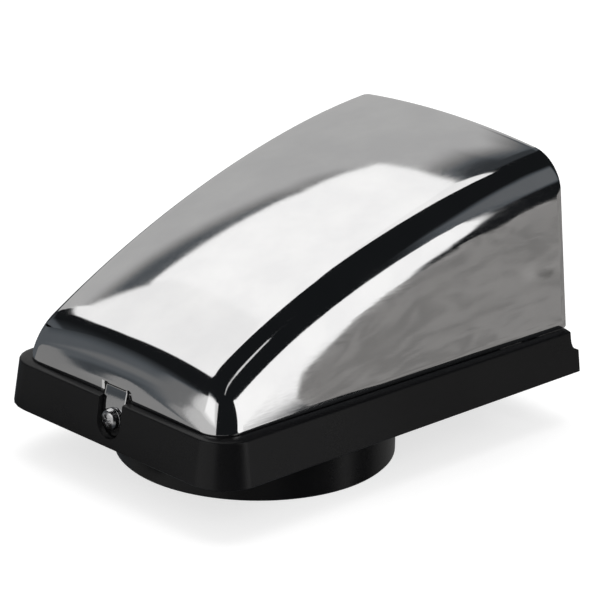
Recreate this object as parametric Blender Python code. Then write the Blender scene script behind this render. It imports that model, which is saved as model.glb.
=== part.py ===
"""Low cowl vent: a stainless hood that slides onto a moulded base and is held by one screw.

The origin is on the duct's axis, in the plane of the deck. +X points to the mouth and +Z up.
"""

import math

import bmesh
import bpy
from mathutils import Matrix, Vector

MM = 0.001
GAP = 0.3 * MM  # between pieces that touch

# Base moulding
BASE_WIDTH = 120.0 * MM
NOSE_REACH = 71.2 * MM  # duct axis to the base's nose
MOUTH_REACH = 108.2 * MM  # duct axis to the base's mouth end
BASE_CORNER = 14.2 * MM
LEAST_CORNER = 2.0 * MM  # at the inside of the rim
FOOT_CHAMFER = 0.4 * MM
RIM_HEIGHT = 17.6 * MM  # at the nose
RIM_FALL = 1.0 * MM  # how much lower the rim is at the mouth
RIM_DRAFT = 2.3 * MM  # the rim's sides lean in by this over its height
RIM_ROUNDING = 0.8 * MM
LEDGE_RISE = 0.5 * MM
LEDGE_SLOPE_WIDTH = 3.0 * MM
RIM_WIDTH = 13.0 * MM
FLOOR_THICKNESS = 3.0 * MM
SILL_HEIGHT = 12.0 * MM
SILL_THICKNESS = 6.9 * MM
COVE_STEP = 3.7 * MM  # base's mouth end to the upright face above the cove
COVE_TOP = 13.2 * MM
COVE_DROP = 4.8 * MM
DRAIN_WIDTH = 10.0 * MM
DRAIN_HEIGHT = 4.0 * MM
DRAIN_OFFSET = 30.0 * MM
RIB_HEIGHT = 3.0 * MM
RIB_THICKNESS = 2.0 * MM
RIB_SETBACK = 37.2 * MM  # base's nose to the ribs

# Duct spigot and the collar that keeps water out of it
SPIGOT_RADIUS = 51.0 * MM
SPIGOT_WALL = 3.0 * MM
SPIGOT_DROP = 18.8 * MM
SPIGOT_CHAMFER = 0.8 * MM
COLLAR_RISE = 25.0 * MM

# Deck screw holes
HOLE_RADIUS = 2.4 * MM
COUNTERSINK_RADIUS = 4.6 * MM
HOLE_EDGE_MARGIN = 9.5 * MM  # hole centre to the inside of the rim

# Hood
SHEET = 1.0 * MM
SIDE_LEDGE = 2.9 * MM  # rim's side to the hood's, both at the foot of the hood's mouth
NOSE_LEDGE = 2.76 * MM
MOUTH_OVERHANG = 0.5 * MM
SIDE_FLARE = 1.5 * MM  # each side's spread from the nose to the mouth
HOOD_CORNER = 10.2 * MM
NOSE_ROOF = 34.4 * MM  # height over the deck that the roof's curve starts from
MOUTH_ROOF = 88.1 * MM
NOSE_SLOPE = 0.668
MOUTH_SLOPE = 0.027
ROOF_FLATNESS = 1.72 * MM  # how far the roof's middle lies below a plain curve
NOSE_CROWN = 7.4 * MM  # drop from the roof's middle line to its sides
MOUTH_CROWN = 3.9 * MM
NOSE_SHOULDER = 11.5 * MM
MOUTH_SHOULDER = 11.9 * MM
SIDE_LEAN = 0.15  # share of its height by which the side leans in at the nose, none at the mouth
MOUTH_LEAN = 0.111
MOUTH_CORNER = 1.2 * MM  # rounding of the sides' lower corners at the mouth

# Tab, hood screw and insert at the nose
RECESS_RADIUS = 6.1 * MM
RECESS_BOTTOM = 3.2 * MM
SCREW_HEIGHT = 10.2 * MM
TAB_WIDTH = 11.2 * MM
NOTCH_WIDTH = 0.9 * MM
NOTCH_RISE = 3.3 * MM
NOTCH_END_RADIUS = 0.7 * MM  # round holes that the notches end in
WINDOW_ROUNDING = 1.5 * MM  # corners of the hood's foot beside the notches
TAB_STANDOFF = 1.6 * MM  # how far the tab's face stands out from the hood's nose
TAB_ANCHOR = 1.5 * MM  # how far the tab's strip runs up inside the nose's sheet
HEAD_RADIUS = 4.0 * MM
HEAD_HEIGHT = 3.1 * MM
HEAD_SIDE = 1.2 * MM  # height of the head's upright side
CROSS_REACH = 2.5 * MM  # from the head's middle to the ends of its cross recess
CROSS_BLADE = 0.6 * MM  # half the width of each arm of the cross
CROSS_DEPTH = 2.2 * MM
CROSS_TAPER = 0.35  # the cross's size at its bottom, as a share of that at its top
SCREW_RADIUS = 2.0 * MM
SCREW_LENGTH = 10.0 * MM
INSERT_RADIUS = 2.9 * MM
INSERT_LENGTH = 8.0 * MM
THREAD_CLEARANCE = 0.2 * MM
KNURL_DEPTH = 0.25 * MM
KNURL_TEETH = 20
BOSS_WIDTH = 15.0 * MM

# Rear hooks and their pockets
HOOK_THICKNESS = 1.2 * MM
HOOK_WIDTH = 8.0 * MM
HOOK_TOE = 7.0 * MM
HOOK_TOE_HEIGHT = 1.6 * MM
HOOK_SETBACK = 24.2 * MM  # base's mouth end to the shank's nose side
HOOK_PAD_RISE = 12.0 * MM
HOOK_TRAVEL = 11.0 * MM  # how far the hood slides towards the nose to unhook
LEDGE_THICKNESS = 3.4 * MM
POCKET_WIDTH = 5.2 * MM
SIDE_POCKETS = 4
POCKET_RIB = 3.0 * MM
POCKET_SETBACK = 25.2 * MM  # base's nose to the first pocket

# Steps of the curves
CORNER_STEPS = 6
ROUND_STEPS = 5
SPIGOT_SEGMENTS = 96
SMALL_SEGMENTS = 32
HOOD_SIDE_STEPS = 18
HOOD_NOSE_STEPS = 10
HOOD_CORNER_STEPS = 3  # on each half of a nose corner
HOOD_WALL_STEPS = 7

BASE_HALF = BASE_WIDTH / 2
HOOD_HALF = BASE_HALF - RIM_DRAFT - SIDE_LEDGE
BASE_LENGTH = NOSE_REACH + MOUTH_REACH
HOOD_FOOT = RIM_HEIGHT + GAP  # at the nose
RIM_MOUTH = MOUTH_REACH - COVE_STEP
HOOD_NOSE = -(NOSE_REACH - RIM_DRAFT - NOSE_LEDGE)
HOOD_MOUTH = RIM_MOUTH + MOUTH_OVERHANG
HOOD_LENGTH = HOOD_MOUTH - HOOD_NOSE
TRAY_HALF = BASE_HALF - RIM_WIDTH
BORE_RADIUS = SPIGOT_RADIUS - SPIGOT_WALL
TAB_FACE = HOOD_NOSE - TAB_STANDOFF
RECESS_BACK = TAB_FACE + SHEET + GAP
RECESS_CENTRE = RECESS_BOTTOM + RECESS_RADIUS
HOOK_X = MOUTH_REACH - HOOK_SETBACK
POCKET_TOP = RIM_HEIGHT - RIM_FALL - LEDGE_THICKNESS
BEYOND = 8.0 * MM  # how far cutters run past what they cut


def clear_scene():
    for thing in list(bpy.data.objects):
        bpy.data.objects.remove(thing, do_unlink=True)


def make_material(name, colour, roughness, metallic):
    material = bpy.data.materials.new(name)
    material.use_nodes = True
    shader = material.node_tree.nodes["Principled BSDF"]
    shader.inputs["Base Color"].default_value = (*colour, 1.0)
    shader.inputs["Roughness"].default_value = roughness
    shader.inputs["Metallic"].default_value = metallic
    return material


def make_object(name, mesh_data, smooth_angle=None):
    """An object from a bmesh, which is freed."""
    bmesh.ops.recalc_face_normals(mesh_data, faces=mesh_data.faces)
    mesh = bpy.data.meshes.new(name)
    mesh_data.to_mesh(mesh)
    mesh_data.free()
    thing = bpy.data.objects.new(name, mesh)
    bpy.context.scene.collection.objects.link(thing)
    if smooth_angle is not None:
        mesh.shade_smooth()
        mesh.set_sharp_from_angle(angle=smooth_angle)
    return thing


def hide_helper(thing):
    thing.hide_render = True
    thing.display_type = "WIRE"
    return thing


def combine(target, helper, operation):
    modifier = target.modifiers.new(helper.name, "BOOLEAN")
    modifier.operation = operation
    modifier.solver = "EXACT"
    modifier.object = hide_helper(helper)


def join(target, helper):
    combine(target, helper, "UNION")


def cut(target, helper):
    combine(target, helper, "DIFFERENCE")


def add_loft(mesh_data, rings):
    """A closed solid through rings of equal point counts, with flat ends."""
    rows = [[mesh_data.verts.new(point) for point in ring] for ring in rings]
    for lower, upper in zip(rows, rows[1:]):
        for k in range(len(lower)):
            after = (k + 1) % len(lower)
            mesh_data.faces.new((lower[k], lower[after], upper[after], upper[k]))
    mesh_data.faces.new(rows[0])
    mesh_data.faces.new(rows[-1])


def add_box(mesh_data, low, high):
    size = [top - bottom for bottom, top in zip(low, high)]
    centre = [(top + bottom) / 2 for bottom, top in zip(low, high)]
    place = Matrix.Translation(centre) @ Matrix.Diagonal((*size, 1.0))
    bmesh.ops.create_cube(mesh_data, size=1.0, matrix=place)


def make_boxes(name, corners):
    mesh_data = bmesh.new()
    for low, high in corners:
        add_box(mesh_data, low, high)
    return make_object(name, mesh_data)


def make_prism(name, profile, half_width, centre_y=0.0):
    """A profile of (x, z) points, extruded along Y."""
    mesh_data = bmesh.new()
    ends = (centre_y - half_width, centre_y + half_width)
    add_loft(mesh_data, [[(x, y, z) for x, z in profile] for y in ends])
    return make_object(name, mesh_data)


def add_turned(mesh_data, profile, segments, place=Matrix.Identity(4)):
    """A solid turned about Z from (radius, z) points, which run from the lower end to the upper."""
    rings = []
    for radius, z in profile:
        angles = (math.tau * k / segments for k in range(segments))
        rings.append([place @ Vector((radius * math.cos(a), radius * math.sin(a), z)) for a in angles])
    add_loft(mesh_data, rings)


def mix(start, end, share):
    return start + (end - start) * share


def share_along(x):
    """0 at the hood's nose and 1 at its mouth."""
    return min(max((x - HOOD_NOSE) / HOOD_LENGTH, 0.0), 1.0)


def rim_height(x):
    return RIM_HEIGHT - RIM_FALL * (x + NOSE_REACH) / BASE_LENGTH


def foot_height(x):
    return rim_height(x) + GAP


def roof_height(x, y):
    """Height of the hood's roof over the deck, rising along the vent and crowned across it."""
    u = (x - HOOD_NOSE) / HOOD_LENGTH
    start = 2 * u**3 - 3 * u**2 + 1
    start_slope = (u**3 - 2 * u**2 + u) * HOOD_LENGTH
    end_slope = (u**3 - u**2) * HOOD_LENGTH
    middle = NOSE_ROOF * start + MOUTH_ROOF * (1 - start)
    middle += NOSE_SLOPE * start_slope + MOUTH_SLOPE * end_slope
    middle -= ROOF_FLATNESS * 16 * (u * (1 - u)) ** 2
    return middle - mix(NOSE_CROWN, MOUTH_CROWN, u) * (y / HOOD_HALF) ** 2


def roof_steepness(x, y):
    """How much longer the roof is than its plan there."""
    step = 0.5 * MM
    along = (roof_height(x + step, y) - roof_height(x - step, y)) / (2 * step)
    across = (roof_height(x, y + step) - roof_height(x, y - step)) / (2 * step)
    return math.sqrt(1 + along**2 + across**2)


def side_lean(x):
    return SIDE_LEAN * (1 - share_along(x)) ** 2


def half_width(x):
    """Half the hood's width at its foot."""
    return HOOD_HALF - SIDE_FLARE * (1 - share_along(x))


def wall_distance(point):
    """Distance outside the hood's walls, which meet in round corners at the nose."""
    lean = side_lean(point.x) * (point.z - HOOD_FOOT)
    past_nose = HOOD_NOSE + HOOD_CORNER - point.x
    past_side = abs(point.y) - (half_width(point.x) - lean - HOOD_CORNER)
    outside = math.hypot(max(past_nose, 0.0), max(past_side, 0.0))
    return outside + min(max(past_nose, past_side), 0.0) - HOOD_CORNER


def shoulder_radius(x):
    return mix(NOSE_SHOULDER, MOUTH_SHOULDER, share_along(x))


def skin_distance(point):
    """Distance outside the hood's outer skin: wall and roof, joined by the round shoulder."""
    wall = wall_distance(point)
    roof = (point.z - roof_height(point.x, point.y)) / roof_steepness(point.x, point.y)
    radius = shoulder_radius(point.x)
    if wall > -radius and roof > -radius:
        return math.hypot(wall + radius, roof + radius) - radius
    return max(wall, roof)


def leaned(point):
    """The point moved back as the mouth leans, in full at the mouth and not at all at the nose."""
    back = MOUTH_LEAN * share_along(point.x) * (point.z - HOOD_FOOT)
    return Vector((point.x - back, point.y, point.z))


def reach_skin(start, direction, inset):
    """The point on the skin, or inset inside it, that a ray from inside meets."""
    near, far = 0.0, HOOD_LENGTH
    for _ in range(32):
        middle = (near + far) / 2
        if skin_distance(leaned(start + direction * middle)) > -inset:
            far = middle
        else:
            near = middle
    return leaned(start + direction * near)


def hood_plan():
    """Points of the hood's plan with their outward directions: near side, nose and far side."""
    points = []
    run = HOOD_LENGTH - HOOD_CORNER
    for k in range(HOOD_SIDE_STEPS):
        x = HOOD_MOUTH - run * (1 - (1 - k / HOOD_SIDE_STEPS) ** 1.3)
        points.append((Vector((x, -half_width(x), 0.0)), Vector((0.0, -1.0, 0.0))))
    straight = half_width(HOOD_NOSE + HOOD_CORNER) - HOOD_CORNER
    for k in range(2 * HOOD_CORNER_STEPS):
        angle = math.pi / 4 * k / HOOD_CORNER_STEPS
        out = Vector((-math.sin(angle), -math.cos(angle), 0.0))
        centre = Vector((HOOD_NOSE + HOOD_CORNER, -straight, 0.0))
        points.append((centre + out * HOOD_CORNER, out))
    nose = []
    for k in range(HOOD_NOSE_STEPS + 1):
        y = -straight * math.cos(math.pi * k / HOOD_NOSE_STEPS)
        nose.append((Vector((HOOD_NOSE, y, 0.0)), Vector((-1.0, 0.0, 0.0))))
    flip = Matrix.Diagonal((1.0, -1.0, 1.0))
    far = [(flip @ point, flip @ out) for point, out in reversed(points)]
    return points + nose + far


def skin_rows(inset):
    """Rows of the hood's wall from foot to shoulder, and the grid of its roof, inset inside the skin."""
    plan = hood_plan()
    cores, tops = [], []
    for point, out in plan:
        core = point - out * shoulder_radius(point.x)
        core.z = roof_height(core.x, core.y) - shoulder_radius(point.x) * roof_steepness(core.x, core.y)
        core.z = max(core.z, HOOD_FOOT)
        core.y -= out.y * side_lean(point.x) * (core.z - HOOD_FOOT)
        cores.append(core)
        up_and_out = (out + Vector((0.0, 0.0, 1.0))).normalized()
        tops.append(reach_skin(core, up_and_out, inset))
    rows = []
    for step in range(HOOD_WALL_STEPS):
        share = 1 - (1 - step / HOOD_WALL_STEPS) ** 2
        row = []
        for (_, out), core, top in zip(plan, cores, tops):
            start = Vector((core.x, core.y, mix(foot_height(top.x), top.z, share)))
            row.append(reach_skin(start, out, inset))
        rows.append(row)
    rows.append(tops)
    return rows, roof_grid(tops, inset)


def upright(point):
    """The point before it leaned back."""
    x = point.x
    for _ in range(8):
        x = point.x + MOUTH_LEAN * share_along(x) * (point.z - HOOD_FOOT)
    return Vector((x, point.y, point.z))


def roof_grid(tops, inset):
    """Roof points inside the shoulder line, from the mouth to the nose and from the near side to the far."""
    side = HOOD_SIDE_STEPS + HOOD_CORNER_STEPS
    across = len(tops) - 1 - 2 * side
    border = [upright(point) for point in tops]
    near, nose, far = border[: side + 1], border[side : side + across + 1], border[: -side - 2 : -1]
    grid = []
    for i in range(side):
        along = (near[0].x - near[i].x) / (near[0].x - near[side].x)
        row = [tops[i]]
        for j in range(1, across):
            over = (nose[j].y - nose[0].y) / (nose[across].y - nose[0].y)
            chord = nose[0].lerp(nose[across], over)
            plan = near[i].lerp(far[i], over) + (nose[j] - chord) * along
            start = Vector((plan.x, plan.y, HOOD_FOOT))
            row.append(reach_skin(start, Vector((0.0, 0.0, 1.0)), inset))
        row.append(tops[len(tops) - 1 - i])
        grid.append(row)
    grid.append(tops[side : side + across + 1])
    return grid


def add_skin(mesh_data, inset):
    """One skin of the hood. It gives back the rows of vertices along the foot and the mouth."""
    rows, grid = skin_rows(inset)
    wall = [[mesh_data.verts.new(point) for point in row] for row in rows]
    side = HOOD_SIDE_STEPS + HOOD_CORNER_STEPS
    top = wall[-1]
    roof = []
    for i, row in enumerate(grid[:-1]):
        inner = [mesh_data.verts.new(point) for point in row[1:-1]]
        roof.append([top[i], *inner, top[-1 - i]])
    roof.append(top[side : len(top) - side])
    for patch in (wall, roof):
        for lower, upper in zip(patch, patch[1:]):
            for k in range(len(lower) - 1):
                mesh_data.faces.new((lower[k], lower[k + 1], upper[k + 1], upper[k]))
    arch = [row[0] for row in wall] + roof[0][1:-1] + [row[-1] for row in reversed(wall)]
    return wall[0], arch


def nose_skin_x(z, inset):
    """Where the nose's skin, or a surface inset inside it, lies at a height on the middle line."""
    start = Vector((HOOD_NOSE + shoulder_radius(HOOD_NOSE), 0.0, z))
    return reach_skin(start, Vector((-1.0, 0.0, 0.0)), inset).x


def make_channel(name, ends, radius, top):
    """A prism along X with a round bottom and a flat top."""
    rings = []
    for x in ends:
        ring = [(x, radius, top)]
        for k in range(2 * CORNER_STEPS + 1):
            angle = math.pi * k / (2 * CORNER_STEPS)
            ring.append((x, radius * math.cos(angle), RECESS_CENTRE - radius * math.sin(angle)))
        ring.append((x, -radius, top))
        rings.append(ring)
    mesh_data = bmesh.new()
    add_loft(mesh_data, rings)
    return make_object(name, mesh_data)


def make_tab():
    """The strip between the nose's notches, which bends out and runs down behind the screw's head."""
    window_top = HOOD_FOOT + NOTCH_RISE
    anchor = window_top + TAB_ANCHOR
    bend = HOOD_FOOT + GAP
    tab_end = RECESS_CENTRE - TAB_WIDTH / 2
    skin_margin = 0.12 * SHEET
    profile = [
        (nose_skin_x(anchor, skin_margin), anchor),
        (nose_skin_x(window_top, skin_margin), window_top),
        (TAB_FACE, bend),
        (TAB_FACE, tab_end),
        (TAB_FACE + SHEET, tab_end),
        (TAB_FACE + SHEET, bend),
        (nose_skin_x(window_top, SHEET - skin_margin), window_top),
        (nose_skin_x(anchor, SHEET - skin_margin), anchor),
    ]
    tab = make_prism("tab_strip", profile, TAB_WIDTH / 2)
    ends = (TAB_FACE - BEYOND, TAB_FACE + BEYOND)
    outline = make_channel("tab_outline", ends, TAB_WIDTH / 2, 2 * HOOD_FOOT)
    combine(tab, outline, "INTERSECT")
    return tab


def make_hood(steel):
    mesh_data = bmesh.new()
    outer_foot, outer_arch = add_skin(mesh_data, 0.0)
    inner_foot, inner_arch = add_skin(mesh_data, SHEET)
    for outer, inner in ((outer_foot, inner_foot), (outer_arch, inner_arch)):
        for k in range(len(outer) - 1):
            mesh_data.faces.new((outer[k], outer[k + 1], inner[k + 1], inner[k]))
    hood = make_object("hood", mesh_data, math.radians(40))
    hood.data.materials.append(steel)
    cut(hood, make_window())
    cut(hood, make_mouth_corners())
    join(hood, make_tab())
    cut(hood, make_tab_holes())
    return hood


def make_window():
    """The cutter for the tab's window, whose lower corners are rounded off."""
    half = TAB_WIDTH / 2 + NOTCH_WIDTH
    outline = [(half + WINDOW_ROUNDING, HOOD_FOOT - BEYOND)]
    for k in range(ROUND_STEPS + 1):
        angle = math.pi / 2 * k / ROUND_STEPS
        y = half + WINDOW_ROUNDING * (1 - math.sin(angle))
        outline.append((y, HOOD_FOOT + WINDOW_ROUNDING * (1 - math.cos(angle))))
    outline.append((half, HOOD_FOOT + NOTCH_RISE))
    outline += [(-y, z) for y, z in reversed(outline)]
    mesh_data = bmesh.new()
    ends = (HOOD_NOSE - BEYOND, HOOD_NOSE + BEYOND)
    add_loft(mesh_data, [[(x, y, z) for y, z in outline] for x in ends])
    return make_object("tab_window", mesh_data)


def make_tab_holes():
    """Cutters along X for the screw's hole and for the round ends of the notches."""
    notch = (TAB_WIDTH + NOTCH_WIDTH) / 2
    places = [(SCREW_RADIUS + GAP, 0.0, SCREW_HEIGHT)]
    places += [(NOTCH_END_RADIUS, side * notch, HOOD_FOOT + NOTCH_RISE) for side in (-1, 1)]
    mesh_data = bmesh.new()
    for radius, y, z in places:
        turn = Matrix.Translation((TAB_FACE, y, z)) @ Matrix.Rotation(math.pi / 2, 4, "Y")
        add_turned(mesh_data, [(radius, -BEYOND / 2), (radius, BEYOND / 2)], SMALL_SEGMENTS, turn)
    return make_object("tab_hole_cutters", mesh_data)


def make_mouth_corners():
    """The cutter that rounds the lower corners of the hood's sides at the mouth."""
    foot = foot_height(HOOD_MOUTH)
    mouth = HOOD_MOUTH + MOUTH_LEAN * (HOOD_FOOT - foot)
    centre_x, centre_z = mouth - MOUTH_CORNER, foot + MOUTH_CORNER
    profile = [(centre_x, foot - BEYOND), (mouth + BEYOND, foot - BEYOND), (mouth + BEYOND, centre_z)]
    for k in range(ROUND_STEPS + 1):
        angle = math.pi / 2 * k / ROUND_STEPS
        along, down = MOUTH_CORNER * math.cos(angle), MOUTH_CORNER * math.sin(angle)
        profile.append((centre_x + along, centre_z - down))
    return make_prism("mouth_corner_cutter", profile, BASE_HALF)


def hook_outside():
    """The hooks' outer face, a gap inside the hood's wall."""
    return half_width(HOOK_X) - SHEET - GAP


def hook_profile():
    toe_top = POCKET_TOP - GAP
    toe_bottom = toe_top - HOOK_TOE_HEIGHT
    back = HOOK_X + HOOK_WIDTH
    pad_top = HOOD_FOOT + HOOK_PAD_RISE
    return [
        (HOOK_X, pad_top),
        (HOOK_X, toe_bottom),
        (back + HOOK_TOE, toe_bottom),
        (back + HOOK_TOE, toe_top),
        (back, toe_top),
        (back, pad_top),
    ]


def make_hook(name, side, steel):
    centre = side * (hook_outside() - HOOK_THICKNESS / 2)
    hook = make_prism(name, hook_profile(), HOOK_THICKNESS / 2, centre)
    hook.data.materials.append(steel)
    return hook


def base_plan(inset, z):
    """A ring of the base's plan, square at the mouth, with its nose and sides drawn in."""
    corner = max(BASE_CORNER - inset, LEAST_CORNER)
    centre_x = -NOSE_REACH + inset + corner
    centre_y = BASE_HALF - inset - corner
    near = [(MOUTH_REACH, -BASE_HALF + inset, z)]
    for k in range(CORNER_STEPS + 1):
        angle = math.pi / 2 * k / CORNER_STEPS
        near.append((centre_x - corner * math.sin(angle), -centre_y - corner * math.cos(angle), z))
    return near + [(x, -y, z) for x, y, _ in reversed(near)]


def make_base_block():
    """The block's drafted sides, rounded edge and sloping ledge, all lowered towards the mouth."""
    rings = [base_plan(FOOT_CHAMFER, 0.0)]
    straight_top = RIM_HEIGHT - LEDGE_RISE - RIM_ROUNDING
    for z in (FOOT_CHAMFER, straight_top):
        rings.append(base_plan(RIM_DRAFT * z / RIM_HEIGHT, z))
    inset = RIM_DRAFT * straight_top / RIM_HEIGHT
    for k in range(1, ROUND_STEPS + 1):
        angle = math.pi / 2 * k / ROUND_STEPS
        across = RIM_ROUNDING * (1 - math.cos(angle))
        rings.append(base_plan(inset + across, straight_top + RIM_ROUNDING * math.sin(angle)))
    rings.append(base_plan(inset + LEDGE_SLOPE_WIDTH, RIM_HEIGHT))
    mesh_data = bmesh.new()
    add_loft(mesh_data, [[(x, y, z * rim_height(x) / RIM_HEIGHT) for x, y, z in ring] for ring in rings])
    return make_object("base", mesh_data, math.radians(35))


def make_cove():
    """The cutter for the mouth end, which leaves an upright face with a cove and a foot below it."""
    profile = [(MOUTH_REACH + BEYOND, RIM_HEIGHT + BEYOND), (RIM_MOUTH, RIM_HEIGHT + BEYOND)]
    for k in range(ROUND_STEPS + 1):
        angle = math.pi / 2 * k / ROUND_STEPS
        x = RIM_MOUTH + COVE_STEP * (1 - math.cos(angle))
        profile.append((x, COVE_TOP - COVE_DROP * math.sin(angle)))
    profile.append((MOUTH_REACH + BEYOND, COVE_TOP - COVE_DROP))
    return make_prism("cove_cutter", profile, BASE_HALF + BEYOND)


def make_tray():
    rings = []
    for z in (FLOOR_THICKNESS, RIM_HEIGHT + BEYOND):
        ring = base_plan(RIM_WIDTH, z)
        rings.append([(min(x, MOUTH_REACH - SILL_THICKNESS), y, height) for x, y, height in ring])
    mesh_data = bmesh.new()
    add_loft(mesh_data, rings)
    return make_object("tray_cutter", mesh_data)


def sill_boxes():
    """The gap over the sill and the drains through its foot."""
    inside = MOUTH_REACH - SILL_THICKNESS - BEYOND
    outside = MOUTH_REACH + BEYOND
    boxes = [((inside, -TRAY_HALF, SILL_HEIGHT), (outside, TRAY_HALF, RIM_HEIGHT + BEYOND))]
    for centre in (-DRAIN_OFFSET, DRAIN_OFFSET):
        low = (inside, centre - DRAIN_WIDTH / 2, FLOOR_THICKNESS)
        boxes.append((low, (outside, centre + DRAIN_WIDTH / 2, FLOOR_THICKNESS + DRAIN_HEIGHT)))
    return boxes


def make_spigot():
    low, high = -SPIGOT_DROP, COLLAR_RISE
    inner = SPIGOT_RADIUS - SPIGOT_CHAMFER
    profile = [
        (inner, low),
        (SPIGOT_RADIUS, low + SPIGOT_CHAMFER),
        (SPIGOT_RADIUS, high - SPIGOT_CHAMFER),
        (inner, high),
    ]
    mesh_data = bmesh.new()
    add_turned(mesh_data, profile, SPIGOT_SEGMENTS)
    return make_object("spigot_body", mesh_data)


def make_bore():
    mesh_data = bmesh.new()
    ends = [(BORE_RADIUS, -SPIGOT_DROP - BEYOND), (BORE_RADIUS, COLLAR_RISE + BEYOND)]
    add_turned(mesh_data, ends, SPIGOT_SEGMENTS)
    return make_object("bore_cutter", mesh_data)


def make_ribs():
    """Ribs along the ledge, inside the hood's flared walls, which guide it as it slides."""
    low, high = POCKET_TOP + LEDGE_THICKNESS / 2, RIM_HEIGHT + RIB_HEIGHT
    mesh_data = bmesh.new()
    for side in (-1, 1):
        rings = []
        for x in (RIB_SETBACK - NOSE_REACH, HOOK_X - HOOK_TRAVEL - 4 * GAP):
            wall = half_width(x) - side_lean(x) * (high - HOOD_FOOT) - SHEET
            outer = side * (wall - GAP)
            inner = side * (wall - GAP - RIB_THICKNESS)
            rings.append([(x, inner, low), (x, outer, low), (x, outer, high), (x, inner, high)])
        add_loft(mesh_data, rings)
    return make_object("guide_ribs", mesh_data)


def boss_box():
    """The block between the nose's rim and the duct that holds the insert."""
    low = (-NOSE_REACH + RIM_WIDTH - MM, -BOSS_WIDTH / 2, FLOOR_THICKNESS / 2)
    high = (-BORE_RADIUS - SPIGOT_WALL / 2, BOSS_WIDTH / 2, RIM_HEIGHT - MM / 2)
    return low, high


def make_recess():
    """The round-bottomed recess at the nose that holds the tab and the screw's head."""
    ends = (-NOSE_REACH - BEYOND, RECESS_BACK)
    return make_channel("recess_cutter", ends, RECESS_RADIUS, RIM_HEIGHT + BEYOND)


def make_insert_hole():
    start = Matrix.Translation((RECESS_BACK, 0.0, SCREW_HEIGHT)) @ Matrix.Rotation(math.pi / 2, 4, "Y")
    radius = INSERT_RADIUS + GAP
    mesh_data = bmesh.new()
    depth = max(INSERT_LENGTH, SCREW_LENGTH - SHEET) + 3 * GAP
    add_turned(mesh_data, [(radius, -MM), (radius, depth)], SMALL_SEGMENTS, start)
    return make_object("insert_hole_cutter", mesh_data)


def hook_openings():
    """Slots through the ledge for the hooks, and the pockets below it that their toes slide in."""
    slot_low = hook_outside() - HOOK_THICKNESS - GAP
    slot_high = hook_outside() + GAP
    start = HOOK_X - HOOK_TRAVEL - 2 * GAP
    slot_end = HOOK_X + HOOK_WIDTH + GAP
    pocket_end = HOOK_X + HOOK_WIDTH + HOOK_TOE + 3 * GAP
    pocket_low = slot_low - GAP
    boxes = []
    for side in (-1, 1):
        slot_y = sorted((side * slot_low, side * slot_high))
        pocket_y = sorted((side * pocket_low, side * (pocket_low + POCKET_WIDTH)))
        boxes.append(((start, slot_y[0], POCKET_TOP - MM), (slot_end, slot_y[1], RIM_HEIGHT + BEYOND)))
        boxes.append(((start - GAP, pocket_y[0], -BEYOND), (pocket_end, pocket_y[1], POCKET_TOP)))
    return boxes


def core_pockets():
    """Hollows under the rim that keep the moulding's walls even, with ribs between them."""
    first = POCKET_SETBACK - NOSE_REACH
    pitch = (HOOK_X - HOOK_TRAVEL - 3 * GAP - first) / SIDE_POCKETS
    low = SPIGOT_RADIUS + 2 * GAP
    boxes = []
    for k in range(SIDE_POCKETS):
        start = first + pitch * k
        for side in (-1, 1):
            across = sorted((side * low, side * (low + POCKET_WIDTH - MM)))
            end = start + pitch - POCKET_RIB
            boxes.append(((start, across[0], -BEYOND), (end, across[1], POCKET_TOP)))
    near_x = -NOSE_REACH + RIM_WIDTH - 2 * MM
    inner = BOSS_WIDTH / 2 + POCKET_RIB
    outer = BASE_HALF - BASE_CORNER - MM
    for side in (-1, 1):
        across = sorted((side * inner, side * outer))
        boxes.append(((near_x - POCKET_WIDTH, across[0], -BEYOND), (near_x, across[1], POCKET_TOP)))
    return boxes


def hole_places():
    nose_x = -NOSE_REACH + RIM_WIDTH + HOLE_EDGE_MARGIN
    mouth_x = MOUTH_REACH - SILL_THICKNESS - HOLE_EDGE_MARGIN
    across = TRAY_HALF - HOLE_EDGE_MARGIN
    return [(x, side * across) for x in (nose_x, mouth_x) for side in (-1, 1)]


def make_deck_holes():
    """Countersunk screw holes through the floor, at its four corners."""
    mesh_data = bmesh.new()
    flare = COUNTERSINK_RADIUS - HOLE_RADIUS
    above = MM / 2
    profile = [
        (HOLE_RADIUS, -BEYOND),
        (HOLE_RADIUS, FLOOR_THICKNESS - flare),
        (COUNTERSINK_RADIUS, FLOOR_THICKNESS),
        (COUNTERSINK_RADIUS + above, FLOOR_THICKNESS + above),
    ]
    for x, y in hole_places():
        add_turned(mesh_data, profile, SMALL_SEGMENTS, Matrix.Translation((x, y, 0.0)))
    return make_object("deck_hole_cutters", mesh_data)


def make_base(plastic):
    base = make_base_block()
    base.data.materials.append(plastic)
    cut(base, make_cove())
    cut(base, make_tray())
    cut(base, make_boxes("sill_cutters", sill_boxes()))
    join(base, make_spigot())
    join(base, make_ribs())
    join(base, make_boxes("insert_boss", [boss_box()]))
    cut(base, make_bore())
    cut(base, make_recess())
    cut(base, make_insert_hole())
    hooks = hook_openings()
    cut(base, make_boxes("hook_slot_cutters", hooks[0::2]))
    cut(base, make_boxes("hook_pocket_cutters", hooks[1::2]))
    cut(base, make_boxes("core_pocket_cutters", core_pockets()))
    cut(base, make_deck_holes())
    return base


def cross_ring(arm, half_blade, z):
    """Twelve points of a cross."""
    b = half_blade
    corners = [(arm, -b), (arm, b), (b, b), (b, arm), (-b, arm), (-b, b)]
    corners += [(-arm, b), (-arm, -b), (-b, -b), (-b, -arm), (b, -arm), (b, -b)]
    return [(x, y, z) for x, y in corners]


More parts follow.
